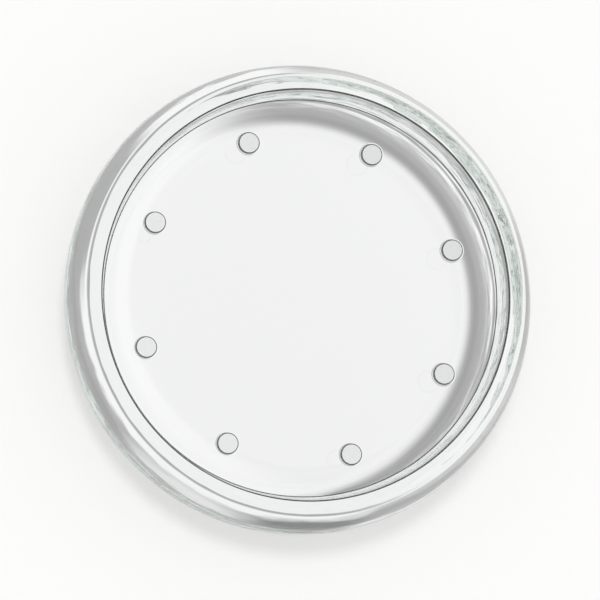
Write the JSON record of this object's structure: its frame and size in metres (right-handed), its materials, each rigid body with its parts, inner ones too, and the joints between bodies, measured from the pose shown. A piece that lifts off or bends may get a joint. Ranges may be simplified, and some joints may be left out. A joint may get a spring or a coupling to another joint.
{
  "type": "fermentation weight",
  "caption": "Round pressed-glass weight with a bulging side, a raised rim and a ring of small studs in its recess, for holding vegetables under brine in a fermentation jar.",
  "frame": {"origin": "middle of the flat underside", "axes": "+Z along the weight's axis, up through the open recess; +X through the middle of one stud"},
  "size_m": [0.09, 0.09, 0.018],
  "materials": {
    "glass": "clear pressed soda-lime glass, fire-polished, with frosted ends on the studs"
  },
  "bodies": {
    "root": {"glass_weight": "glass"}
  },
  "joints": []
}
